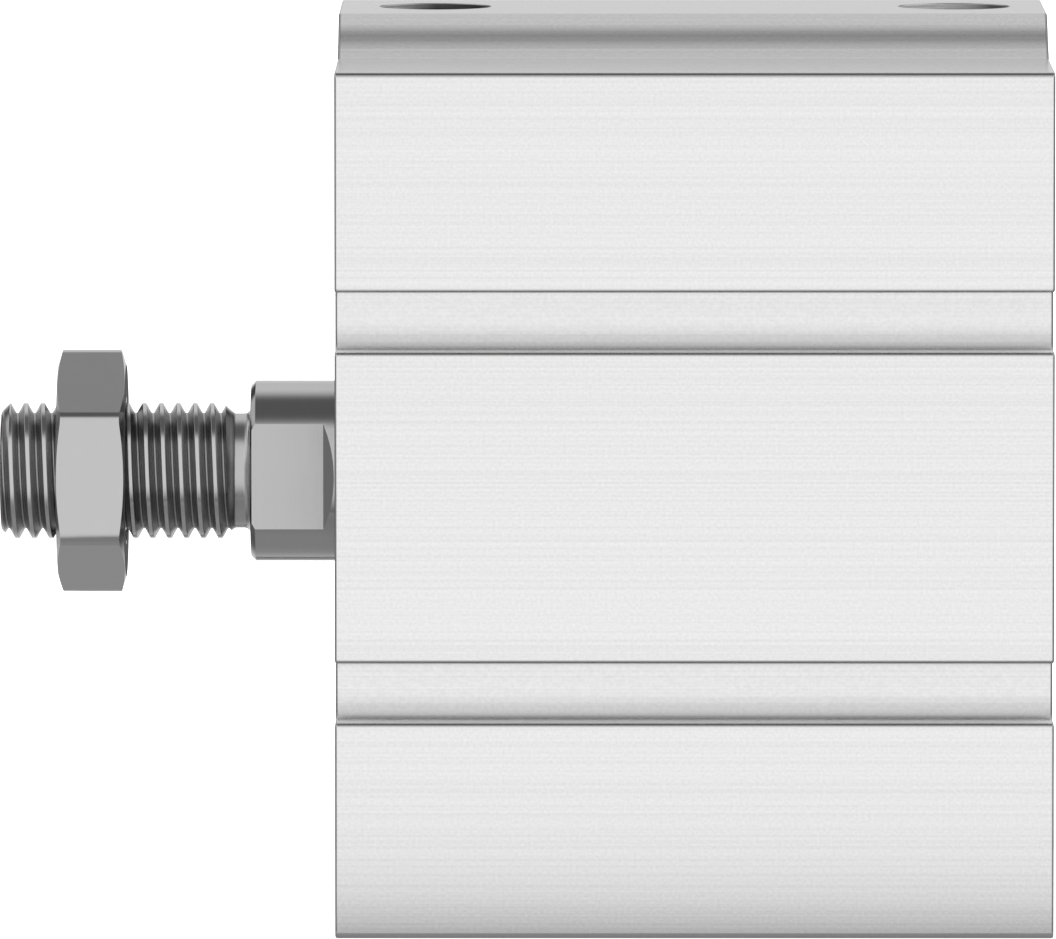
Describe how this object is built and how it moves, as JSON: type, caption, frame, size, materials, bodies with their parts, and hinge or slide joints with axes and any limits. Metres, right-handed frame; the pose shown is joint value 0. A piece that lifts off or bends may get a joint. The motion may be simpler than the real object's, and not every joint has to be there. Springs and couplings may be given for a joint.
{
  "type": "compact pneumatic cylinder",
  "caption": "Compact double-acting pneumatic cylinder: square grooved aluminium body with raised port rail, round rod with spanner flats, male thread and thin hex nut.",
  "frame": {"origin": "rod axis on the front (rod side) mounting face", "axes": "-X along the rod out of the body, +Z towards the supply ports, +Y away from the pictured side"},
  "size_m": [0.0923, 0.075, 0.0787],
  "materials": {
    "body_aluminium": "satin natural anodised extrusion, fine lines along the length",
    "cap_aluminium": "fine turned, clear anodised",
    "piston_aluminium": "turned",
    "rod_steel": "ground and polished",
    "nut_steel": "bright zinc plated",
    "clip_steel": "phosphated spring steel, oiled",
    "screw_steel": "blackened",
    "bush_bronze": "sintered bronze, oil impregnated",
    "seal_rubber": "matt nitrile rubber",
    "wiper_polyurethane": "semi-matt polyurethane",
    "bumper_polyurethane": "semi-matt polyurethane",
    "magnet_ferrite": "plastic-bonded ferrite",
    "guide_polymer": "filled acetal"
  },
  "bodies": {
    "barrel": {"cylinder_body": "body_aluminium", "bearing_cap": "cap_aluminium", "bearing_cap_oring": "seal_rubber", "front_circlip": "clip_steel", "rod_bush": "bush_bronze", "rod_seal": "seal_rubber", "rod_wiper": "wiper_polyurethane", "front_bumper": "bumper_polyurethane", "rear_cover": "cap_aluminium", "rear_cover_oring": "seal_rubber", "rear_circlip": "clip_steel", "rear_bumper": "bumper_polyurethane"},
    "piston_rings": {"piston_guide_ring": "guide_polymer", "piston_seal_front": "seal_rubber", "piston_seal_rear": "seal_rubber"},
    "rod": {"piston_rod": "rod_steel", "piston_front": "piston_aluminium", "piston_rear": "piston_aluminium", "piston_magnet": "magnet_ferrite", "piston_screw": "screw_steel", "piston_oring": "seal_rubber"},
    "nut": {"hex_nut": "nut_steel"}
  },
  "joints": [
    {"name": "rod_slide", "type": "slide", "parent": "barrel", "child": "piston_rings", "axis": [-1, 0, 0], "range_m": [0, 0.025]},
    {"name": "rod_turn", "type": "hinge", "parent": "piston_rings", "child": "rod", "pos_m": [0, 0, 0], "axis": [-1, 0, 0], "range_deg": [-990, 2070]},
    {"name": "nut_travel", "type": "slide", "parent": "piston_rings", "child": "nut", "axis": [1, 0, 0], "range_m": [-0.00413, 0.00863]}
  ],
  "couplings": [
    {"joint": "nut_travel", "follows": "rod_turn", "m_per_rad": 0.00023873}
  ]
}
